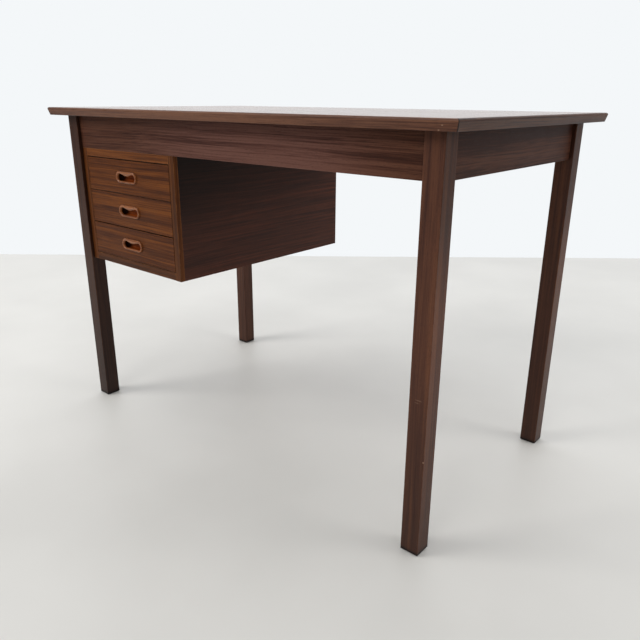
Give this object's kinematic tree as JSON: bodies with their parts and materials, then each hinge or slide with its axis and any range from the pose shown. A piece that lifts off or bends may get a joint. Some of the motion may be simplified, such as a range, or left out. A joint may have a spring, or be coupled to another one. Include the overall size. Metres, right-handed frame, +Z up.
{
  "type": "writing desk with drawers",
  "caption": "Free-standing wooden writing desk on square legs, with a hanging drawer unit at one end whose drawers slide out on wooden runners.",
  "frame": {"origin": "on the floor under the middle of the desk", "axes": "+X along the desk's long side, -Y the side that the drawers open to, +Z up"},
  "size_m": [1.0708, 0.5998, 0.73],
  "materials": {
    "tabletop_veneer": "satin lacquered dark veneer, grain along the desk",
    "tabletop_lipping": "satin lacquered solid wood",
    "leg_wood": "satin lacquered solid wood, grain upright",
    "apron_veneer": "satin lacquered veneer, grain along the apron",
    "unit_veneer": "satin lacquered veneer, grain level",
    "unit_lipping": "satin lacquered solid wood",
    "drawer_veneer": "satin lacquered veneer, grain level",
    "pull_wood": "carved solid wood, satin",
    "drawer_wood": "plain pale hardwood",
    "drawer_plywood": "thin pale plywood",
    "inner_wood": "unfinished beech",
    "dowel_wood": "beech dowel",
    "steel": "plain steel"
  },
  "bodies": {
    "desk": {"top_panel": "tabletop_veneer", "top_lipping_front": "tabletop_lipping", "top_lipping_right": "tabletop_lipping", "top_lipping_back": "tabletop_lipping", "top_lipping_left": "tabletop_lipping", "leg_front_left": "leg_wood", "leg_front_right": "leg_wood", "leg_back_right": "leg_wood", "leg_back_left": "leg_wood", "apron_front": "apron_veneer", "apron_right": "apron_veneer", "apron_back": "apron_veneer", "apron_left": "apron_veneer", "top_block_front_left": "inner_wood", "top_block_front_right": "inner_wood", "top_block_back_left": "inner_wood", "top_block_back_right": "inner_wood", "top_block_left": "inner_wood", "top_block_right": "inner_wood", "unit_side_left": "unit_veneer", "unit_side_right": "unit_veneer", "unit_top": "unit_veneer", "unit_bottom": "unit_veneer", "unit_lipping_left": "unit_lipping", "unit_lipping_right": "unit_lipping", "unit_lipping_top": "unit_lipping", "unit_lipping_bottom": "unit_lipping", "unit_back": "unit_veneer", "runner_top_drawer_left": "inner_wood", "runner_top_drawer_right": "inner_wood", "runner_middle_drawer_left": "inner_wood", "runner_middle_drawer_right": "inner_wood", "runner_bottom_drawer_left": "inner_wood", "runner_bottom_drawer_right": "inner_wood", "apron_dowels": "dowel_wood", "unit_dowels": "dowel_wood", "block_screws": "steel", "top_screws": "steel", "unit_screws": "steel", "runner_screws": "steel"},
    "top_drawer": {"top_drawer_front": "drawer_veneer", "top_drawer_pull": "pull_wood", "top_drawer_side_left": "drawer_wood", "top_drawer_side_right": "drawer_wood", "top_drawer_back": "drawer_wood", "top_drawer_base": "drawer_plywood"},
    "middle_drawer": {"middle_drawer_front": "drawer_veneer", "middle_drawer_pull": "pull_wood", "middle_drawer_side_left": "drawer_wood", "middle_drawer_side_right": "drawer_wood", "middle_drawer_back": "drawer_wood", "middle_drawer_base": "drawer_plywood"},
    "bottom_drawer": {"bottom_drawer_front": "drawer_veneer", "bottom_drawer_pull": "pull_wood", "bottom_drawer_side_left": "drawer_wood", "bottom_drawer_side_right": "drawer_wood", "bottom_drawer_back": "drawer_wood", "bottom_drawer_base": "drawer_plywood"}
  },
  "joints": [
    {"name": "top_drawer_slide", "type": "slide", "parent": "desk", "child": "top_drawer", "axis": [0, -1, 0], "range_m": [0, 0.36]},
    {"name": "middle_drawer_slide", "type": "slide", "parent": "desk", "child": "middle_drawer", "axis": [0, -1, 0], "range_m": [0, 0.36]},
    {"name": "bottom_drawer_slide", "type": "slide", "parent": "desk", "child": "bottom_drawer", "axis": [0, -1, 0], "range_m": [0, 0.36]}
  ]
}
